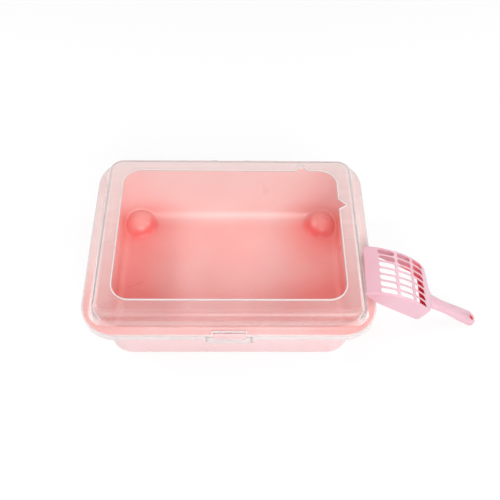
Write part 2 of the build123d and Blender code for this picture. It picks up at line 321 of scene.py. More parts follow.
def soft_block(low, high, radius, steps=3):
    """A box with round edges: the points of a small sphere, moved out to the box's corners by the signs of
    their directions, with each quarter's end angles given twice so that the flat faces lie between them."""
    low, high = np.array(low), np.array(high)
    quarter = np.linspace(0, math.pi / 2, steps + 1)
    turn = np.concatenate([quarter + k * math.pi / 2 for k in range(4)])
    sign_x = np.repeat([1, -1, -1, 1], steps + 1)
    sign_y = np.repeat([1, 1, -1, -1], steps + 1)
    lift = np.concatenate([quarter - math.pi / 2, quarter])
    sign_z = np.repeat([-1, 1], steps + 1)
    core = (high - low) / 2 - radius
    x = core[0] * sign_x[None] + radius * np.cos(lift)[:, None] * np.cos(turn)[None]
    y = core[1] * sign_y[None] + radius * np.cos(lift)[:, None] * np.sin(turn)[None]
    z = np.broadcast_to((core[2] * sign_z + radius * np.sin(lift))[:, None], x.shape)
    points, faces = capped(np.stack([x, y, z], -1))
    return points + (low + high) / 2, faces


def joined(*parts):
    """Several (points, faces) pairs as one."""
    points, faces, count = [], [], 0
    for p, f in parts:
        points.append(p)
        faces.append(f + count)
        count += len(p)
    return np.concatenate(points), np.concatenate(faces)


def add_piece(name, points, faces, material, body, slot, nodes=(), closed=True, tolerance=1e-6, second=None):
    """Makes a mesh object from points about the tray's middle, merges doubled points, points its faces
    outwards, rides it on its body and hides the CAD nodes that it stands for. second is another material
    and the faces that take it."""
    mesh = bpy.data.meshes.new(name)
    mesh.from_pydata(points + MIDDLE, [], faces)
    mesh.materials.append(material)
    if second:
        mesh.materials.append(second[0])
        mesh.polygons.foreach_set("material_index", np.asarray(second[1], np.int32))
    shape = bmesh.new()
    shape.from_mesh(mesh)
    bmesh.ops.remove_doubles(shape, verts=shape.verts, dist=tolerance)
    bmesh.ops.delete(shape, geom=[v for v in shape.verts if not v.link_faces], context="VERTS")
    if closed:
        bmesh.ops.recalc_face_normals(shape, faces=shape.faces)
        if shape.calc_volume(signed=True) < 0:
            bmesh.ops.reverse_faces(shape, faces=shape.faces)
    shape.to_mesh(mesh)
    shape.free()
    mesh.validate()
    mesh.shade_smooth()
    piece = bpy.data.objects.new(name, mesh)
    bpy.context.scene.collection.objects.link(piece)
    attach(piece, body)
    if nodes:
        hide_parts(*nodes)
    return piece


def thicken(piece, wall, edge, inner=None):
    """Gives a sheet its wall, inwards from its faces, and rounds the wall's edges. inner is another material
    for the wall's inner side."""
    if inner:
        piece.data.materials.append(inner)
    solid = piece.modifiers.new("wall", "SOLIDIFY")
    solid.thickness, solid.offset, solid.use_even_offset = wall, -1.0, True
    solid.use_quality_normals = True
    solid.material_offset = 1 if inner else 0
    bevel = piece.modifiers.new("edges", "BEVEL")
    bevel.width, bevel.segments, bevel.limit_method, bevel.angle_limit = edge, 2, "ANGLE", math.radians(50)
    bevel.harden_normals = True


# Materials


class Nodes:
    """Adds nodes to a tree and links them; a value that is a socket is linked and any other is set."""

    def __init__(self, tree):
        self.tree = tree
        tree.nodes.clear()

    def add(self, kind, inputs=None, **settings):
        new = self.tree.nodes.new(kind)
        for key, value in settings.items():
            setattr(new, key, value)
        for key, value in (inputs or {}).items():
            self.feed(new.inputs[key], value)
        return new

    def feed(self, socket, value):
        if isinstance(value, bpy.types.NodeSocket):
            self.tree.links.new(value, socket)
        elif socket.type == "RGBA" and len(value) == 3:
            socket.default_value = (*value, 1.0)
        else:
            socket.default_value = value

    def math(self, operation, result, *others, clamp=False):
        """The operation on two values, or on more of them one after the other."""
        for value in others:
            made = self.add("ShaderNodeMath", {0: result, 1: value}, operation=operation, use_clamp=clamp)
            result = made.outputs[0]
        return result

    def size(self, value):
        return self.math("ABSOLUTE", value, 0.0)

    def vector(self, operation, a, b=(0, 0, 0)):
        return self.add("ShaderNodeVectorMath", {0: a, 1: b}, operation=operation).outputs

    def hypot(self, a, b):
        return self.vector("LENGTH", self.add("ShaderNodeCombineXYZ", {0: a, 1: b}).outputs[0])["Value"]

    def range(self, value, start, end, low, high, kind="SMOOTHSTEP"):
        """Goes from low at start to high at end, and stays there."""
        inputs = {"Value": value, "From Min": start, "From Max": end, "To Min": low, "To Max": high}
        return self.add("ShaderNodeMapRange", inputs, interpolation_type=kind).outputs["Result"]

    def band(self, value, start, full, fading, end, peak=1.0):
        """Goes from 0 at start to the peak at full, and from fading back to 0 at end."""
        rise = self.range(value, start, full, 0.0, peak)
        return self.math("MULTIPLY", rise, self.range(value, fading, end, 1.0, 0.0))

    def mix(self, share, a, b):
        return self.add("ShaderNodeMix", {"Factor": share, 6: a, 7: b}, data_type="RGBA").outputs[2]

    def blend(self, share, a, b):
        return self.add("ShaderNodeMixShader", {0: share, 1: a, 2: b}).outputs[0]

    def along(self, start, direction):
        """How many millimetres a point lies from start along a direction."""
        way = self.vector("SUBTRACT", self.place, tuple(MIDDLE + start))[0]
        return self.vector("DOT_PRODUCT", way, tuple(direction / MM))["Value"]

    def axes(self):
        """A point's x, y and z in millimetres from the floor under the tray's middle."""
        return (self.along(np.zeros(3), axis) for axis in np.eye(3))

    def seen_rays(self):
        """1 for rays from the camera, from gloss and through clear plastic, and 0 for the rest."""
        rays, kinds = self.add("ShaderNodeLightPath").outputs, ("Camera", "Glossy", "Transmission")
        return self.math("MAXIMUM", *(rays[f"Is {kind} Ray"] for kind in kinds))


def moulded_group():
    """The effect shared by the plastics: soft cloudiness, a fine skin and the flow of the moulding."""
    group = bpy.data.node_groups.new("moulded_plastic", "ShaderNodeTree")
    new = group.interface.new_socket
    new("Vector", in_out="INPUT", socket_type="NodeSocketVector")
    new("Flow Stretch", in_out="INPUT", socket_type="NodeSocketVector").default_value = (1.0, 1.0, 0.12)
    n = Nodes(group)
    given = n.add("NodeGroupInput").outputs
    result = n.add("NodeGroupOutput").inputs
    noises = (
        ("Cloud", 18.0, {"Detail": 3.0, "Roughness": 0.5}),
        ("Skin", 900.0, {"Detail": 2.0, "Roughness": 0.6}),
        ("Flow", 60.0, {"Detail": 3.0, "Distortion": 0.6}),
    )
    for name, scale, inputs in noises:
        new(name + " Scale", in_out="INPUT", socket_type="NodeSocketFloat").default_value = scale
        new(name, in_out="OUTPUT", socket_type="NodeSocketFloat")
        place = given["Vector"]
        if name == "Flow":
            stretched = n.add("ShaderNodeMapping", {"Vector": place, "Scale": given["Flow Stretch"]})
            place = stretched.outputs[0]
        noise = n.add("ShaderNodeTexNoise", {"Vector": place, "Scale": given[name + " Scale"], **inputs})
        n.feed(result[name], noise.outputs[0])
    return group


def plastic(name, roughness, skin_depth, scales):
    """A moulded plastic whose roughness follows the moulding's flow, with a fine skin. Its colour comes
    after."""
    material = bpy.data.materials.new(name)
    material.use_nodes = True
    n = Nodes(material.node_tree)
    n.place = n.add("ShaderNodeTexCoord").outputs["Object"]
    group = bpy.data.node_groups.get("moulded_plastic") or moulded_group()
    n.effect = n.add("ShaderNodeGroup", node_tree=group)
    for key, value in zip(("Vector", "Cloud Scale", "Skin Scale", "Flow Scale"), (n.place, *scales)):
        n.feed(n.effect.inputs[key], value)
    n.cloud, n.flow = n.effect.outputs["Cloud"], n.effect.outputs["Flow"]
    bump = {"Strength": 0.25, "Distance": skin_depth * MM, "Height": n.effect.outputs["Skin"]}
    bump = n.add("ShaderNodeBump", bump).outputs[0]
    inputs = {"Roughness": n.range(n.flow, 0.25, 0.75, *roughness), "IOR": 1.49, "Normal": bump}
    n.shader = n.add("ShaderNodeBsdfPrincipled", inputs)
    n.colour = n.shader.inputs["Base Color"]
    n.surface = n.add("ShaderNodeOutputMaterial", {"Surface": n.shader.outputs[0]}).inputs["Surface"]
    return n


def two_tones(n, light, deep):
    """Two tones of one colour over soft clouds."""
    n.feed(n.colour, n.mix(n.range(n.cloud, 0.3, 0.7, 0.0, 1.0), light, deep))


def tray_inside(n, f):
    """The tray's inside, with painted shade and light. Painted shade deepens the tone on the floor, most of
    all at its front in the front wall's shadow, at the foot of its sides, in its corners and a little near
    the top of its walls; painted light pales it up the walls and most of all on the back wall. A painted dark
    red shade lies on the inner front side of each dome. Soft clouds vary the tone at random."""
    s = bpy.context.scene.litter_tray
    x, y, z = n.axes()
    x = n.size(x)
    # Painted shade: corner deepens the tone towards the corners, side at the foot of the side walls.
    corner = n.math("MULTIPLY", n.range(x, 90, 190, 0.0, 0.34), n.range(n.size(y), 30, 140, 0.0, 1.0))
    side = n.math("MULTIPLY", n.range(x, 60, 170, 0.0, 0.3), n.range(z, 4, 50, 1.0, 0.0))
    # Painted shade and light: depth is deep on the floor, most of all at its front in the front wall's
    # shadow, pale on the lit back wall and up the walls, and a little deeper near their top; the clouds add
    # random tone.
    depth = n.math("ADD", n.range(y, 110, 158, 0.54, 0.0), n.range(y, -140, 30, 0.52, 0.0), corner, side)
    depth = n.math("MULTIPLY", depth, n.range(z, 10, 80, 1.0, 0.5), n.range(z, 112, 121, 1.0, 1.3))
    depth = n.math("ADD", depth, n.range(n.cloud, 0.3, 0.7, -0.06, 0.06))
    # Painted shade: glow puts dark red on each dome's inner front side, which faces away from the lamps.
    across, back = n.math("SUBTRACT", x, s.dome_x / MM), n.math("SUBTRACT", y, s.dome_y / MM)
    away = n.hypot(across, back)
    facing = n.math("DIVIDE", n.math("MULTIPLY", n.math("ADD", across, back), -0.7), away)
    glow = n.math("MULTIPLY", n.band(away, 19, 27, 30, 40), n.range(facing, 0.1, 0.95, 0.0, 0.6))
    n.feed(n.colour, n.mix(glow, n.mix(depth, f.tray, f.tray_shade_and_cloud), f.tray_dome_shade))


def tray_outside(n, f):
    """The tray's outside, its feet and its lugs: a paler copy of the tray's pink, painted light for the
    sheen on the lit outer walls, in two tones over soft clouds.
    """
    two_tones(n, f.tray_outside, f.tray_outside_deep)


def cover_skin(n, f):
    """The cover: see-through, with milk that gathers in the lip, the flange, the raised rim's foot and the
    ejector marks. Milk that grows to the back is painted sheen where the cover's back is lit; along the
    shoulder it is partly the whiter look of the plastic seen edge-on and partly a painted highlight line,
    stronger at the sides; a clearer line at the rim's foot is painted shade in the crease. Light shines
    through it, so shadow and diffuse rays meet less of it, and half of it glows with the light behind. A
    gloss lies over it."""
    c = bpy.context.scene.litter_cover
    two_tones(n, f.cover, f.cover_deep)
    n.feed(n.effect.inputs["Flow Stretch"], (0.1, 1.0, 1.0))
    x, y, z = n.axes()
    z = n.math("SUBTRACT", z, c.flange_top / MM)
    lip, flange = n.range(z, -6, -0.5, 0.36, 0.02), n.band(z, -1.5, -0.5, 0.2, 1.2, 0.14)
    # Painted shade: crease makes a clearer, darker line at the raised rim's foot.
    crease, foot = n.band(z, 0.2, 1.2, 2.5, 4, -0.05), n.band(z, 2.5, 5, 8, 17, 0.18)
    # shoulder is partly the whiter look of the plastic seen edge-on and partly a painted highlight line,
    # stronger at the sides.
    shoulder = n.math("MULTIPLY", n.band(z, 18, 23, 25.5, 27.4), n.range(n.size(x), 60, 210, 0.05, 0.17))
    # The share that grows to the back is painted sheen where the cover's back is lit.
    milk = n.math("ADD", lip, flange, crease, foot, shoulder, n.range(y, -150, 160, 0.07, 0.50))
    for mark in EJECTOR_MARKS:
        away = n.hypot(n.math("SUBTRACT", x, mark[0]), n.math("SUBTRACT", y, mark[1]))
        milk = n.math("ADD", milk, n.band(away, 2.8, 3.6, 4, 5, 0.12))
    milk = n.math("ADD", milk, n.math("MULTIPLY", n.cloud, 0.06), n.range(n.flow, 0.35, 0.65, -0.02, 0.02))
    rays = n.add("ShaderNodeLightPath").outputs
    unseen = n.math("MAXIMUM", rays["Is Shadow Ray"], rays["Is Diffuse Ray"])
    passing = n.math("SUBTRACT", 1.0, n.math("MULTIPLY", unseen, 0.65))
    alpha = n.math("MULTIPLY", milk, passing, clamp=True)
    n.feed(n.shader.inputs["Alpha"], alpha)
    through = n.add("ShaderNodeBsdfTranslucent", {"Color": n.mix(n.cloud, f.cover, f.edge)}).outputs[0]
    through = n.blend(alpha, n.add("ShaderNodeBsdfTransparent").outputs[0], through)
    gloss = n.add("ShaderNodeBsdfAnisotropic", {"Color": (1.0, 1.0, 1.0), "Roughness": 0.22}).outputs[0]
    facing = n.add("ShaderNodeFresnel", {"IOR": 1.28}).outputs[0]
    facing = n.math("MULTIPLY", facing, n.math("SUBTRACT", 1.0, unseen))
    n.feed(n.surface, n.blend(facing, n.blend(0.45, n.shader.outputs[0], through), gloss))


def cover_edge(n, f):
    """The cover's thick edges: its bead and its window frames."""
    two_tones(n, f.edge, f.edge_deep)
    n.feed(n.shader.inputs["Alpha"], n.range(n.cloud, 0.3, 0.7, 0.66, 0.76))


def scoop_outside(n, f):
    """The scoop's outside, with painted shade that deepens it near its tip, over soft clouds."""
    # Painted shade: near deepens the scoop towards its tip.
    near = n.range(n.along(SCOOP_TIP, SCOOP_ALONG), 5, 60, 0.55, 0.12)
    share = n.math("ADD", near, n.range(n.cloud, 0.3, 0.7, -0.08, 0.08))
    n.feed(n.colour, n.mix(share, f.scoop, f.scoop_shade_and_cloud))


def scoop_lining(n, f):
    """The bowl's inside, with painted shade that reddens it towards its closed end."""
    share = n.range(n.along(SCOOP_TIP, SCOOP_ALONG), 60, 125, 0.06, 1.0)
    n.feed(n.colour, n.mix(share, f.scoop_shade_and_cloud, f.scoop_inside))


def scoop_dark(n, f):
    """Painted shade: the dark red of the deck behind the bowl's mouth and of the wall of the hanging hole,
    in two tones over soft clouds.
    """
    two_tones(n, f.scoop_inside, f.scoop_inside_deep)


# Each plastic's colour, roughness, depth of skin in millimetres, and scales of clouds, skin and flow
PLASTICS = {
    "pink": (tray_inside, (0.27, 0.36), 0.02, (9, 500, 30)),
    "lit_outside_pink": (tray_outside, (0.28, 0.38), 0.02, (9, 500, 30)),
    "milky": (cover_skin, (0.26, 0.40), 0.03, (22, 500, 40)),
    "white": (cover_edge, (0.26, 0.36), 0.03, (22, 800, 40)),
    "rose": (scoop_outside, (0.30, 0.42), 0.05, (30, 1200, 60)),
    "shaded_rose": (scoop_lining, (0.35, 0.45), 0.05, (30, 1200, 60)),
    "cavity_shade_rose": (scoop_dark, (0.40, 0.50), 0.05, (30, 1200, 60)),
}


def finish(name):
    """One of the plastics, made at its first use."""
    full_name = name + "_polypropylene"
    if full_name not in bpy.data.materials:
        paint, *settings = PLASTICS[name]
        paint(plastic(full_name, *settings), bpy.context.scene.litter_finish)
    return bpy.data.materials[full_name]


# Tray


def inset_distance(x, y, straight):
    """How far out of the corner-centre rectangle a point is: its corner radius in a corner, else the nearer
    side's distance, below 0 inside the rectangle."""
    dx, dy = np.abs(x) - straight[0], np.abs(y) - straight[1]
    return np.hypot(np.maximum(dx, 0), np.maximum(dy, 0)) + np.minimum(np.maximum(dx, dy), 0)


def round_least(a, b, radius):
    """The lesser of two distances, with a round of the given radius where both are small."""
    bend = np.hypot(np.maximum(radius - a, 0), np.maximum(radius - b, 0))
    return np.maximum(radius, np.minimum(a, b)) - bend


def tray_room(points, s, inner, dome_middle, sphere):
    """Distance from the tray's inside surface, above 0 in the hollow: the floor and the drafted wall joined
    by the floor's round, then joined to the nearest dome's sphere by the dome's blend."""
    x, y, z = np.moveaxis(points, -1, 0)
    reach = inner - (s.height - z) * math.tan(s.draft)
    wall = (reach - inset_distance(x, y, (s.straight_x, s.straight_y))) * math.cos(s.draft)
    floor = z - (s.foot + s.wall)
    base = round_least(wall, floor, s.floor_round)
    across, back, up = np.abs(x) - s.dome_x, np.abs(y) - s.dome_y, z - dome_middle
    dome = np.sqrt(across**2 + back**2 + up**2) - sphere
    return round_least(base, dome, s.dome_blend)


def tray_surface(s):
    """The tray as one closed profile, carried round rounded rectangles: floor, wall, rim, skirt and back
    under. Where a dome's sphere stands in the hollow, the inside is moved along a line to a point above the
    dome until it meets the joined surface. The underside rises inside the domes by the smaller sphere."""
    across = s.wall / math.cos(s.draft)
    inner, slope = s.corner - across, math.tan(s.draft)
    floor, under, top = s.foot + s.wall, s.foot, s.height
    outer_rim = s.corner + s.shelf
    profile = rounded(
        [
            (-s.straight_y, floor),
            (inner - (top - floor) * slope, floor),
            (inner, top),
            (outer_rim, top),
            (outer_rim, top - s.skirt),
            (outer_rim - s.wall, top - s.skirt),
            (outer_rim - s.wall, top - s.wall),
            (s.corner - s.wall * slope, top - s.wall),
            (s.corner - (top - under) * slope, under),
            (-s.straight_y, under),
        ],
        [s.floor_round, 1.4 * MM, 1.6 * MM, 0.8 * MM, 0.8 * MM, 0.8 * MM, 1.2 * MM, s.base_round],
    )
    flat = 60 * MM
    split = np.array([(-flat, floor), (-flat, under)])
    profile = np.concatenate([profile[:1], split[:1], profile[1:-1], split[1:], profile[-1:]])
    parts = [divided(profile[:2], 9 * MM), divided(profile[1:-1], 2.6 * MM), divided(profile[-2:], 9 * MM)]
    profile = np.concatenate([parts[0], parts[1][1:-1], parts[2]])
    q, z = profile[:, 0], profile[:, 1]
    shelf_from, shelf_run, least = s.corner + 1.5 * MM, s.shelf - 4.5 * MM, 21 * MM
    half_x, half_y = s.straight_x + q, s.straight_y + q
    corner = q - s.shelf_shift * smooth((q - shelf_from) / shelf_run)
    corner = np.where(corner > least, corner, np.minimum(least, half_y))
    coarse, fine, by_dome = 12 * MM, 2.5 * MM, 41 * MM
    sides = []
    for reach, near in ((s.straight_y, s.dome_y - by_dome), (s.straight_x, s.dome_x - by_dome)):
        sides.append(spread(reach, coarse, [(-reach, -near, fine), (near, reach, fine)]))
    x, y = around(half_x, half_y, corner, sides * 2, 32)
    points = np.stack([x, y, np.broadcast_to(z[:, None], x.shape)], -1)

    sphere = (s.dome_radius**2 + s.dome_height**2) / (2 * s.dome_height)
    middle = floor + s.dome_height - sphere
    inside = np.arange(len(q)) < np.argmax(z > s.height / 2)
    above_dome = np.array([150, 100, 120]) * MM
    target = np.stack([np.sign(x), np.sign(y), np.ones(x.shape)], -1) * above_dome
    low, high = np.zeros(x.shape), np.full(x.shape, 0.6)
    need = (tray_room(points, s, inner, middle, sphere) < -1e-7) & inside[:, None]
    for _ in range(30):
        half = (low + high) / 2
        room = tray_room(points + half[..., None] * (target - points), s, inner, middle, sphere)
        low, high = np.where(room < 0, half, low), np.where(room < 0, high, half)
    points = np.where(need[..., None], points + high[..., None] * (target - points), points)

    below = np.arange(len(q)) > len(q) - 1 - np.argmax((z > under + 1e-6)[::-1])
    away = np.hypot(np.abs(x) - s.dome_x, np.abs(y) - s.dome_y)
    hollow = sphere - s.wall
    rise = middle + np.sqrt(np.maximum(hollow**2 - away**2, 0)) - under
    edge = s.corner - (top - under) * slope - 8 * MM
    zone = smooth((edge - inset_distance(x, y, (s.straight_x, s.straight_y))) / (2.5 * MM))
    points[..., 2] += np.where(below[:, None], np.maximum(rise, 0) * zone, 0)
    faces = quads(*x.shape)
    last_inside = np.argmax(q > outer_rim - 1 * MM)
    return points.reshape(-1, 3), faces, faces[:, 0] // x.shape[1] > last_inside


class LITTER_OT_tray(bpy.types.Operator):
    """Makes the tray's moulded shell"""

    bl_idname = "litter.tray"
    bl_label = "Tray shell"

    def execute(self, context):
        points, faces, outside = tray_surface(context.scene.litter_tray)
        settings = {"tolerance": 2e-5, "second": (finish("lit_outside_pink"), outside)}
        add_piece("tray_shell", points, faces, finish("pink"), "tray", "tray_plastic", ("tray",), **settings)
        return {"FINISHED"}


class LITTER_OT_tray_details(bpy.types.Operator):
    """Makes the tray's foot ribs and the lugs that fill the cover's snap windows"""

    bl_idname = "litter.tray_details"
    bl_label = "Tray feet and lugs"

    def execute(self, context):
        s, c = context.scene.litter_tray, context.scene.litter_cover
        pink = finish("lit_outside_pink")
        outline = rounded([(-2, 3.4), (-2, 0), (2, 0), (2, 3.4)], [1.2, 1.2]) * MM
        base = s.corner - (s.height - s.foot) * math.tan(s.draft)
        turn = np.linspace(math.radians(4), math.radians(86), 28)
        ribs = []
        for flip_x, flip_y in ((1, 1), (-1, 1), (-1, -1), (1, -1)):
            out = np.stack([flip_x * np.cos(turn), flip_y * np.sin(turn), 0 * turn], 1)
            path = np.array([flip_x * s.straight_x, flip_y * s.straight_y, 0]) + (base - 5 * MM) * out
            ribs.append(swept(path, out, outline, False))
        add_piece("tray_feet", *joined(*ribs), pink, "tray", "tray_plastic")
        half = c.window / 2 - 0.5 * MM
        face = c.depth / 2 - 2.15 * MM
        lugs = []
        for side in (-1, 1):
            y = sorted((side * face, side * (face - 2.4 * MM)))
            low, high = (-half, y[0], s.height - s.skirt), (half, y[1], c.flange_top - 0.6 * MM)
            lugs.append(soft_block(low, high, 0.5 * MM))
        add_piece("tray_lugs", *joined(*lugs), pink, "tray", "tray_plastic")
        return {"FINISHED"}


# Cover


def ear(offset, c, away):
    """Height of a cat ear notch over its side, with a rounded tip: two straight flanks whose lesser value is
    smoothed near the tip and eased into the side at the foot. away is the direction that the tip leans."""
    tip = away * c.ear_skew
    rising = (offset + c.ear_width / 2) / (tip + c.ear_width / 2)
    falling = (c.ear_width / 2 - offset) / (c.ear_width / 2 - tip)
    high = np.minimum(rising, falling) * c.ear_height
    soft = 1.0 * MM
    gap = np.abs(rising - falling) * c.ear_height
    high = high - np.maximum(soft - gap, 0) ** 2 / (4 * soft) * 1.2
    return np.maximum(high, 0)


def opening_bulge(x, y, c, half_x, half_y):
    """Outward moves of the opening's edge at its two ears: the first on the back edge, the second on the
    right."""
    back = ear(x - c.back_ear, c, -1) * (y > half_y - 1e-6)
    side = ear(y - c.side_ear, c, -1) * (x > half_x - 1e-6)
    return side, back


def cover_columns(c):
    """Samples along the cover's right side, back, left side and front, close together at tabs and ears."""
    run_x, run_y, edge = c.width / 2 - c.corner, c.depth / 2 - c.corner, c.window / 2
    clip = [(-46 * MM, 46 * MM, 1.5333 * MM), (-edge - MM, -edge + MM, MM), (edge - MM, edge + MM, MM)]
    back_ear, side_ear = ((at - 13 * MM, at + 13 * MM, 0.5 * MM) for at in (c.back_ear, c.side_ear))
    front, back = spread(run_x, 10 * MM, clip), spread(run_x, 10 * MM, [*clip, back_ear])
    right, left = spread(run_y, 10 * MM, [side_ear]), spread(run_y, 10 * MM, [])
    return right, -back[::-1], left, front


def cover_surface(c):
    """The cover's outside as one sheet: opening edge, top, shoulder, leaning wall, foot, flange, rounded
    edge and lip, carried round rounded rectangles whose corner centres move from the lip's to the raised
    rim's and the opening's. The opening's edge bulges at the ears, the lip hangs lower at the tabs, and the
    faces in the snap windows are left out."""
    top = c.flange_top + c.rise
    upper = c.foot_inset + c.rise * math.tan(c.lean)
    window_foot = c.flange_top - c.window_drop
    rise, flange = [(c.opening_inset, top), (upper, top), (c.foot_inset, c.flange_top)], (0.0, c.flange_top)
    profile = rounded([*rise, flange, (0.0, window_foot)], [c.shoulder, 2.4 * MM, c.edge_round], 8)
    ledge = c.window_ledge
    spot = np.argmax(profile[:, 0] < ledge)
    profile = np.insert(profile, spot, (ledge, c.flange_top), axis=0)
    profile = divided(profile, 2.6 * MM)
    below = np.linspace(0, 1, 6)[1:]
    inset = np.concatenate([profile[:, 0], 0 * below])
    z = np.concatenate([profile[:, 1], np.full(len(below), window_foot)])
    tail = np.concatenate([0 * profile[:, 0], below])
    shoulder_in = upper + c.shoulder * math.tan((math.pi / 2 - c.lean) / 2)
    rim_shift = c.foot_inset
    opening_shift = c.corner - c.opening_inset - c.opening_corner
    places = c.edge_round, c.foot_inset - 2 * MM, shoulder_in, c.opening_inset
    shift = np.interp(inset, places, [0, rim_shift, rim_shift, opening_shift])
    half_x, half_y = c.width / 2 - inset, c.depth / 2 - inset
    x, y = around(half_x, half_y, c.corner - inset - shift, cover_columns(c), 32, hold=(140 * MM, 85 * MM))
    z = np.broadcast_to(z[:, None], x.shape).copy()

    side, back = opening_bulge(x[0], y[0], c, half_x[0], half_y[0])
    fade = np.clip((inset - shoulder_in) / (c.opening_inset - shoulder_in), 0, 1)[:, None]
    x, y = x + side * fade, y + back * fade

    on_long = (np.abs(y) > half_y[:, None] - 1e-6) & (np.abs(x) < 60 * MM)
    tab = smooth((c.tab / 2 + 2.5 * MM - np.abs(x)) / (9 * MM)) * on_long
    fall = c.lip - c.window_drop
    z -= tail[:, None] * (fall + c.tab_drop * tab)
    proud = smooth((c.tab / 2 + 1 * MM - np.abs(x)) / (3 * MM)) * on_long
    stand = smooth((c.flange_top - 0.5 * MM - z) / (2.4 * MM)) * proud * c.tab_proud
    y += np.sign(y) * stand
    points = np.stack([x, y, z], -1)

    faces = quads(*x.shape)
    middle = points.reshape(-1, 3)[faces].mean(1)
    row = faces[:, 0] // x.shape[1]
    in_window = (np.abs(middle[:, 0]) < c.window / 2) & (np.abs(middle[:, 1]) > c.depth / 2 - ledge)
    in_window &= (middle[:, 2] > window_foot) & (middle[:, 2] < c.flange_top + 1 * MM) & (tail[row] == 0)
    return points.reshape(-1, 3), faces[~in_window][:, ::-1]


def opening_path(c, out):
    """The opening's edge, moved out by a distance along its own normal."""
    half_x, half_y = c.width / 2 - c.opening_inset, c.depth / 2 - c.opening_inset
    x, y = around(half_x, half_y, c.opening_corner, cover_columns(c), 32, hold=(140 * MM, 85 * MM))
    side, back = opening_bulge(x[0], y[0], c, half_x, half_y)
    line = np.stack([x[0] + side, y[0] + back], 1)
    line = line[np.linalg.norm(line - np.roll(line, 1, 0), axis=1) > 1e-6]
    along = np.roll(line, -1, 0) - np.roll(line, 1, 0)
    along /= np.linalg.norm(along, axis=1, keepdims=True)
    normal = np.stack([along[:, 1], -along[:, 0]], 1)
    return line + out * normal, normal


class LITTER_OT_cover(bpy.types.Operator):
    """Makes the cover's moulded shell"""

    bl_idname = "litter.cover"
    bl_label = "Cover shell"

    def execute(self, context):
        c = context.scene.litter_cover
        shell, milky = cover_surface(c), finish("milky")
        piece = add_piece("cover_shell", *shell, milky, "cover", "cover_plastic", ("cover",), closed=False)
        thicken(piece, c.wall, 0.5 * MM)
        return {"FINISHED"}


class LITTER_OT_cover_details(bpy.types.Operator):
    """Makes the bead round the cover's opening and the frames of its snap windows"""

    bl_idname = "litter.cover_details"
    bl_label = "Cover bead and frames"

    def execute(self, context):
        c = context.scene.litter_cover
        white = finish("white")
        top = c.flange_top + c.rise
        low, high = top - c.wall - 0.05 * MM, top + c.bead_height
        half = c.bead / 2
        outline = rounded(
            [(0, low), (half, low), (half, high), (-half, high), (-half, low), (0, low)],
            [0.4 * MM, 0.9 * MM, 0.9 * MM, 0.4 * MM],
        )[:-1]
        line, normal = opening_path(c, half - 0.1 * MM)
        path = np.concatenate([line, 0 * line[:, :1]], 1)
        side = np.concatenate([normal, 0 * line[:, :1]], 1)
        add_piece("cover_bead", *swept(path, side, outline, True), white, "cover", "cover_plastic")

        edge, front = c.window / 2 + 1.2 * MM, c.depth / 2 - 1.2 * MM
        inner = c.depth / 2 - c.window_ledge - 1.2 * MM
        corners = [(0, -0.3), (1.2, -0.3), (1.2, 0.9), (-1.2, 0.9), (-1.2, -0.3), (0, -0.3)]
        bar = rounded(corners, [0.2, 0.6, 0.6, 0.2], 3)[:-1] * MM + (0, c.flange_top)
        frames = []
        for flip in (-1, 1):
            bend = rounded([(-edge, front), (-edge, inner), (edge, inner), (edge, front)], [1.6 * MM] * 2)
            line = divided(bend, 3 * MM) * (1, flip)
            along = np.gradient(line, axis=0)
            along /= np.linalg.norm(along, axis=1, keepdims=True)
            side = np.stack([along[:, 1], -along[:, 0], 0 * along[:, 0]], 1)
            path = np.concatenate([line, 0 * line[:, :1]], 1)
            frames.append(swept(path, side, bar, False))
        add_piece("cover_frames", *joined(*frames), white, "cover", "cover_plastic")
        return {"FINISHED"}


# Scoop


def scoop_place(points):
    """Points from the scoop's own frame to where it leans: along its length, across, and out of its
    slope."""
    across = np.cross(SCOOP_OUT, SCOOP_ALONG)
    return SCOOP_TIP + points[..., :1] * SCOOP_ALONG + points[..., 1:2] * across + points[..., 2:] * SCOOP_OUT


def bowl_height(x):
    """The bowl's back seen from the side: a smooth line from the tip over the crown and down to the
    handle."""
    knots = np.array([0, 8, 18, 32, 48, 62, 74, 90, 100, 109, 118, 127, 136, 143, 150]) * MM
    rises = np.array([8.4, 14.8, 20.4, 26.0, 30.5, 33.0, 33.8, 33.0, 31.6, 29.1, 25.6, 20.4, 14.5, 10.0, 6.5])
    return curve(x, knots, rises * MM)


def bowl_half_width(x, p):
    """Half the bowl's width at its free edges: straight, rounded at the back corner, then drawn in on a
    hollow line to the handle's root. It's also rounded at the tip's corners."""
    knots = np.array([0, 104, 112, 117, 121, 124.5, 127.5, 131, 135, 140, 145, 150]) * MM
    shares = np.array([1, 1, 0.994, 0.965, 0.915, 0.845, 0.77, 0.67, 0.565, 0.45, 0.36, 0.30])
    width = curve(x, knots, p.half_width * shares)
    tip = 4 * MM
    return width - tip + np.sqrt(np.maximum(tip**2 - np.maximum(tip - x, 0) ** 2, 0))


def bowl_edges(x, p):
    """The height of the free edges, the back's height, the round's radius and the back's flat half width."""
    free = np.maximum(6.4 * MM * (1 - x / (23 * MM)), 0)
    high = bowl_height(x)
    bend = np.minimum(p.edge_round, (high - free) * 0.85)
    flat = bowl_half_width(x, p) - high * math.tan(p.draft) - 0.9 * bend
    return free, high, bend, flat


def bowl_top(x, y, p):
    """A point of the slotted back: rows keep their place over the middle, and the outer row is drawn in
    with the bowl's edge. Past the slots all of them narrow together."""
    flat = bowl_edges(x, p)[3]
    outer = p.rows * p.slot_row_step / 2
    calm = outer - p.slot_row_step
    end = p.slots_from - (p.slot_step - p.slot_length) / 2 + p.columns * p.slot_step
    at_end = bowl_edges(np.array(end), p)[3]
    inner = calm * np.where(x > end, flat / at_end, 1.0)
    far = inner + (np.abs(y) - calm) * (flat - inner) / (outer - calm)
    return np.where(np.abs(y) <= calm, y * inner / calm, np.sign(y) * far)


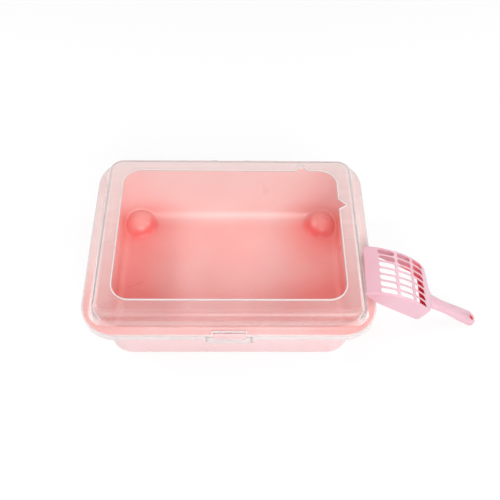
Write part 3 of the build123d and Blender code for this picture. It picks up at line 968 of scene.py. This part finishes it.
def scoop_bowl(p):
    """The bowl's outside as a sheet: side walls, rounds and back on one grid of lines, with each slot's
    cell made as rings between the cell's border and the slot's rounded outline."""
    across_steps, along_steps = 6, 16
    outer = p.rows * p.slot_row_step / 2
    start = p.slots_from - (p.slot_step - p.slot_length) / 2
    end = start + p.columns * p.slot_step
    tip, heel = np.array([0, 0.4, 1.2, 2.4, 4, 6.4, 9, 12]) * MM, np.linspace(end, p.bowl, 18)[1:]
    lines = np.concatenate([tip, np.linspace(start, end, p.columns * along_steps + 1), heel])
    free, high, bend, flat = bowl_edges(lines, p)
    lean = math.tan(p.draft)
    wall_top = high - 0.9 * bend * math.cos(p.draft)
    rise = free[:, None] + (wall_top - free)[:, None] * np.linspace(0, 1, 7)[None, :]
    width = bowl_half_width(lines, p)[:, None]
    wall_y, wall_z = width - rise * lean, rise
    turn = np.linspace(0, math.pi / 2 - p.draft, 6)[None, 1:-1] + p.draft
    round_y = flat[:, None] + bend[:, None] * np.cos(turn)
    round_z = (high - bend)[:, None] + bend[:, None] * np.sin(turn)
    rows = np.linspace(-outer, outer, p.rows * across_steps + 1)
    top_y = bowl_top(lines[:, None], rows[None, :], p)
    top_z = np.broadcast_to(high[:, None], top_y.shape)
    y = np.concatenate([-wall_y, -round_y, top_y, round_y[:, ::-1], wall_y[:, ::-1]], 1)
    z = np.concatenate([wall_z, round_z, top_z, round_z[:, ::-1], wall_z[:, ::-1]], 1)
    grid = np.stack([np.broadcast_to(lines[:, None], y.shape), y, z], -1)
    faces = quads(*y.shape, wrap_columns=False)
    side = wall_y.shape[1] + round_y.shape[1]
    line, column = faces[:, 0] // y.shape[1], faces[:, 0] % y.shape[1]
    first = np.argmin(np.abs(lines - start))
    sieve = (line >= first) & (line < first + p.columns * along_steps)
    sieve &= (column >= side) & (column < side + p.rows * across_steps)

    half = np.array([p.slot_step, p.slot_row_step]) / 2
    u = np.linspace(-1, 1, along_steps + 1)
    v = np.linspace(-1, 1, across_steps + 1)
    low, right = np.stack([u[:-1], -np.ones(along_steps)], 1), np.stack([np.ones(across_steps), v[:-1]], 1)
    border = np.concatenate([low, right, -low, -right]) * half
    core = np.array([p.slot_length, p.slot_width]) / 2 - p.slot_corner
    near = np.clip(border, -core, core)
    way = border - near
    slot = near + p.slot_corner * way / np.linalg.norm(way, axis=1, keepdims=True)
    share = np.array([0, 0.3, 0.65, 1.0])[:, None, None]
    rings = slot + share * (border - slot)
    columns = start + p.slot_step * (np.arange(p.columns) + 0.5)
    middles = -outer + p.slot_row_step * (np.arange(p.rows) + 0.5)
    centre = np.stack(np.meshgrid(columns, middles, indexing="ij"), -1).reshape(-1, 1, 1, 2)
    cells = rings[None] + centre
    cell_x, cell_y = cells[..., 0], cells[..., 1]
    cell = np.stack([cell_x, bowl_top(cell_x, cell_y, p), bowl_height(cell_x)], -1)
    ring_faces = quads(4, len(border))
    count = 4 * len(border)
    patches = (ring_faces[None] + count * np.arange(len(centre))[:, None, None]).reshape(-1, 4)
    return joined((grid.reshape(-1, 3), faces[~sieve][:, ::-1]), (cell.reshape(-1, 3), patches[:, ::-1]))


def handle_outline(p):
    """The handle from above, against the clock: lower side, round end, upper side and root. Its half width
    is a smooth line with a waist."""
    start, centre = 139 * MM, p.total - p.handle_end
    x = np.linspace(start, centre, 44)
    knots, widths = np.array([139, 150, 175, 200, 217, 241]), np.array([13.2, 12.9, 11.0, 11.9, 13.4, 14.0])
    half = curve(x, knots * MM, widths * MM)
    turn = np.linspace(-math.pi / 2, math.pi / 2, 29)[1:-1]
    cap = np.stack([centre + p.handle_end * np.cos(turn), p.handle_end * np.sin(turn)], 1)
    root = np.stack([np.full(5, start), np.linspace(half[0], -half[0], 7)[1:-1]], 1)
    return np.concatenate([np.stack([x, -half], 1), cap, np.stack([x, half], 1)[::-1], root])


def scoop_handle(p):
    """The handle as rings from its hanging hole over the crowned top, down the side, under and back through
    the hole. The top's flat middle is a narrow strip that widens round the hole, and from it the top falls
    away to the outline as a quarter ellipse. Also tells which faces are the hole's wall."""
    line = handle_outline(p)
    along = np.roll(line, -1, 0) - np.roll(line, 1, 0)
    along /= np.linalg.norm(along, axis=1, keepdims=True)
    inward = np.stack([-along[:, 1], along[:, 0]], 1)
    hole = np.array([p.total - p.hole_from_end, 0.0])
    way = line - hole
    angle = np.arctan2(way[:, 1], way[:, 0])
    circle = np.stack([np.cos(angle), np.sin(angle)], 1)
    strip, round_hole = 2.5 * MM, p.hole + 1.5 * MM
    wide = np.maximum(np.sqrt(np.maximum(round_hole**2 - way[:, 0] ** 2, 0)), strip)
    beside = np.stack([np.maximum(line[:, 0], line[0, 0] + 8 * MM), np.clip(line[:, 1], -wide, wide)], 1)
    flat = np.where(line[:, :1] < p.total - p.handle_end, beside, hole + round_hole * circle)
    thick, drop = p.handle_thick, 4.8 * MM
    mouth, bore = hole + (p.hole + 0.45 * MM) * circle, hole + p.hole * circle
    rings = [(bore, thick - 0.5 * MM), (mouth, thick)]
    for share in (1.0, 0.85, 0.7, 0.55, 0.42, 0.3, 0.2, 0.12, 0.05, 0.0):
        fall = drop * (1 - math.sqrt(1 - (1 - share) ** 2))
        rings.append((line + share * (flat - line), thick - fall))
    for out, z in ((0.0, 3.0), (0.0, 1.6), (0.15, 0.9), (0.5, 0.3), (1.2, 0.0)):
        rings.append((line + out * MM * inward, z * MM))
    rings += [(flat, 0.0), (mouth, 0.0), (bore, 0.5 * MM)]
    points = np.stack([np.column_stack([xy, np.full(len(line), z)]) for xy, z in rings])
    faces = quads(len(rings), len(line), wrap_rows=True)
    return points.reshape(-1, 3), faces, faces[:, 0] // len(line) == len(rings) - 1


def scoop_deck(p):
    """The plate that closes the bowl behind its mouth: a flat bar with round edges, as wide as the bowl
    inside."""
    x = np.linspace(p.deck_from, p.bowl, 12)
    half, round_edge = bowl_half_width(x, p) - 1.2 * MM, 0.6 * MM
    quarters = [np.linspace(k * 90, k * 90 + 90, 5) for k in range(4)]
    turn = np.radians(np.round(np.concatenate(quarters)))  # whole degrees
    right, upper = np.repeat([1, -1, -1, 1], 5), np.repeat([1, 1, -1, -1], 5)
    y = right * (half[:, None] - round_edge) + round_edge * np.cos(turn)
    z = MM + upper * (MM - round_edge) + round_edge * np.sin(turn)
    return capped(np.stack(np.broadcast_arrays(x[:, None], y, z), -1))


class LITTER_OT_scoop(bpy.types.Operator):
    """Makes the scoop's slotted bowl"""

    bl_idname = "litter.scoop"
    bl_label = "Scoop bowl"

    def execute(self, context):
        p = context.scene.litter_scoop
        points, faces = scoop_bowl(p)
        bowl, rose = (scoop_place(points), faces), finish("rose")
        piece = add_piece("scoop_bowl", *bowl, rose, "scoop", "scoop_plastic", ("scoop",), closed=False)
        thicken(piece, p.wall, 0.45 * MM, finish("shaded_rose"))
        return {"FINISHED"}


class LITTER_OT_scoop_handle(bpy.types.Operator):
    """Makes the scoop's handle and the deck that closes the bowl behind its mouth"""

    bl_idname = "litter.scoop_handle"
    bl_label = "Scoop handle and deck"

    def execute(self, context):
        p = context.scene.litter_scoop
        points, faces, bore = scoop_handle(p)
        points, settings = scoop_place(points), {"second": (finish("cavity_shade_rose"), bore)}
        add_piece("scoop_handle", points, faces, finish("rose"), "scoop", "scoop_plastic", **settings)
        points, faces = scoop_deck(p)
        add_piece("scoop_deck", scoop_place(points), faces, finish("cavity_shade_rose"), "scoop", "scoop_plastic")
        return {"FINISHED"}


# Stage


# Each lamp's name, place, height of its aim, size, and power with its share
LAMPS = (
    ("front_softbox", (0.5, -1.65, 1.25), 0.08, (1.7, 0.9), "key_power", 1.0),
    ("top_softbox", (0.1, 0.1, 1.9), 0.0, (1.2, 1.0), "top_power", 1.0),
    ("left_softbox", (-1.25, 0.22, 1.15), 0.1, (0.9, 0.25), "rim_power", 1.0),
    ("right_softbox", (1.35, 0.3, 1.0), 0.1, (0.9, 0.25), "rim_power", 0.75),
)

# The camera that fits the photo's outlines
CAMERA_PLACE = (0.010694, -0.635532, 1.039045)
CAMERA_RIGHT = np.array([0.99979248, -0.00863708, 0.01845002])
CAMERA_UP = np.array([-0.00314997, 0.82923686, 0.55888845])
CAMERA_BACK = np.array([-0.0201266, -0.55883059, 0.82903757])


def held(right, up, back, place):
    """A holder's matrix from its three directions and its place about the tray's middle."""
    return Matrix.Translation(MIDDLE + place) @ Matrix(np.stack([right, up, back], 1).tolist()).to_4x4()


def add_lamp(name, place, aim_height, size, power):
    """A soft rectangular lamp that looks at a point above the tray's middle."""
    lamp = bpy.data.lights.new(name, "AREA")
    lamp.shape, lamp.size, lamp.size_y, lamp.energy = "RECTANGLE", size[0], size[1], power
    holder = bpy.data.objects.new(name, lamp)
    bpy.context.scene.collection.objects.link(holder)
    back = np.array(place) - (0, 0, aim_height)
    back /= np.linalg.norm(back)
    overhead = back[2] > 0.99
    right = np.array((1.0, 0, 0)) if overhead else np.cross((0, 0, 1.0), back)
    right /= np.linalg.norm(right)
    holder.matrix_world = held(right, np.cross(back, right), back, place)


def add_floor(reach, light):
    """A pale floor that keeps the object's shadow and shows as white paper."""
    material = bpy.data.materials.new("studio_floor")
    material.use_nodes = True
    n = Nodes(material.node_tree)
    inputs = {"Vector": n.add("ShaderNodeTexCoord").outputs["Object"], "Scale": 40.0, "Detail": 2.0}
    paper = n.add("ShaderNodeTexNoise", inputs).outputs[0]
    tint = n.mix(paper, light, tuple(v * 0.985 for v in light))
    inputs = {"Base Color": tint, "Roughness": 0.9, "Specular IOR Level": 0.2}
    plain = n.add("ShaderNodeBsdfPrincipled", inputs).outputs[0]
    glow = n.add("ShaderNodeEmission", {"Color": (1.0, 1.0, 1.0), "Strength": 1.04}).outputs[0]
    share = n.math("MULTIPLY", n.seen_rays(), 0.8)
    n.add("ShaderNodeOutputMaterial", {"Surface": n.blend(share, plain, glow)})
    mesh = bpy.data.meshes.new("studio_floor")
    corners = [(-reach, -reach, 0), (reach, -reach, 0), (reach, reach, 0), (-reach, reach, 0)]
    mesh.from_pydata(corners, [], [(0, 1, 2, 3)])
    mesh.materials.append(material)
    floor = bpy.data.objects.new("studio_floor", mesh)
    bpy.context.scene.collection.objects.link(floor)


class LITTER_OT_stage(bpy.types.Operator):
    """Makes the pale floor, the soft lamps, the world and the camera"""

    bl_idname = "litter.stage"
    bl_label = "Stage"

    def execute(self, context):
        scene, studio = context.scene, context.scene.litter_studio
        scene.view_settings.view_transform = "Standard"
        add_floor(6.0, tuple(scene.litter_finish.floor))

        world = bpy.data.worlds.new("pale_world")
        world.use_nodes = True
        scene.world = world
        n = Nodes(world.node_tree)
        strength = n.range(n.seen_rays(), 0.0, 1.0, studio.world, 1.0, "LINEAR")
        sky = n.add("ShaderNodeBackground", {"Color": (1.0, 1.0, 1.0), "Strength": strength})
        n.add("ShaderNodeOutputWorld", {"Surface": sky.outputs[0]})

        for name, place, aim_height, size, power, share in LAMPS:
            add_lamp(name, place, aim_height, size, getattr(studio, power) * share)

        lens = bpy.data.cameras.new("photo_camera")
        lens.sensor_width, lens.sensor_fit, lens.lens = 36.0, "HORIZONTAL", studio.lens
        camera = bpy.data.objects.new("photo_camera", lens)
        scene.collection.objects.link(camera)
        camera.matrix_world = held(CAMERA_RIGHT, CAMERA_UP, CAMERA_BACK, CAMERA_PLACE)
        scene.camera = camera
        return {"FINISHED"}


# Panel and registration

STEPS = (
    "stage",
    "tray",
    "tray_details",
    "cover",
    "cover_details",
    "scoop",
    "scoop_handle",
)


class LITTER_PT_panel(bpy.types.Panel):
    """Lists the pieces and the stage"""

    bl_idname = "LITTER_PT_panel"
    bl_label = "Litter tray"
    bl_space_type = "VIEW_3D"
    bl_region_type = "UI"
    bl_category = "Litter tray"

    def draw(self, context):
        for step in STEPS:
            self.layout.operator("litter." + step)


GROUPS = {
    "litter_tray": TraySizes,
    "litter_cover": CoverSizes,
    "litter_scoop": ScoopSizes,
    "litter_finish": Finish,
    "litter_studio": Studio,
}
CLASSES = (
    *GROUPS.values(),
    LITTER_OT_stage,
    LITTER_OT_tray,
    LITTER_OT_tray_details,
    LITTER_OT_cover,
    LITTER_OT_cover_details,
    LITTER_OT_scoop,
    LITTER_OT_scoop_handle,
    LITTER_PT_panel,
)


def register():
    """Registers the classes and hangs the property groups on the scene."""
    for item in CLASSES:
        bpy.utils.register_class(item)
    for name, group in GROUPS.items():
        setattr(bpy.types.Scene, name, PointerProperty(type=group))


def unregister():
    """Takes the property groups and classes away again."""
    for name in GROUPS:
        delattr(bpy.types.Scene, name)
    for item in reversed(CLASSES):
        bpy.utils.unregister_class(item)


def main():
    """Makes every piece in turn."""
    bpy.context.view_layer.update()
    register()
    for step in STEPS:
        getattr(bpy.ops.litter, step)()
    bpy.context.view_layer.update()


if __name__ == "__main__":
    main()
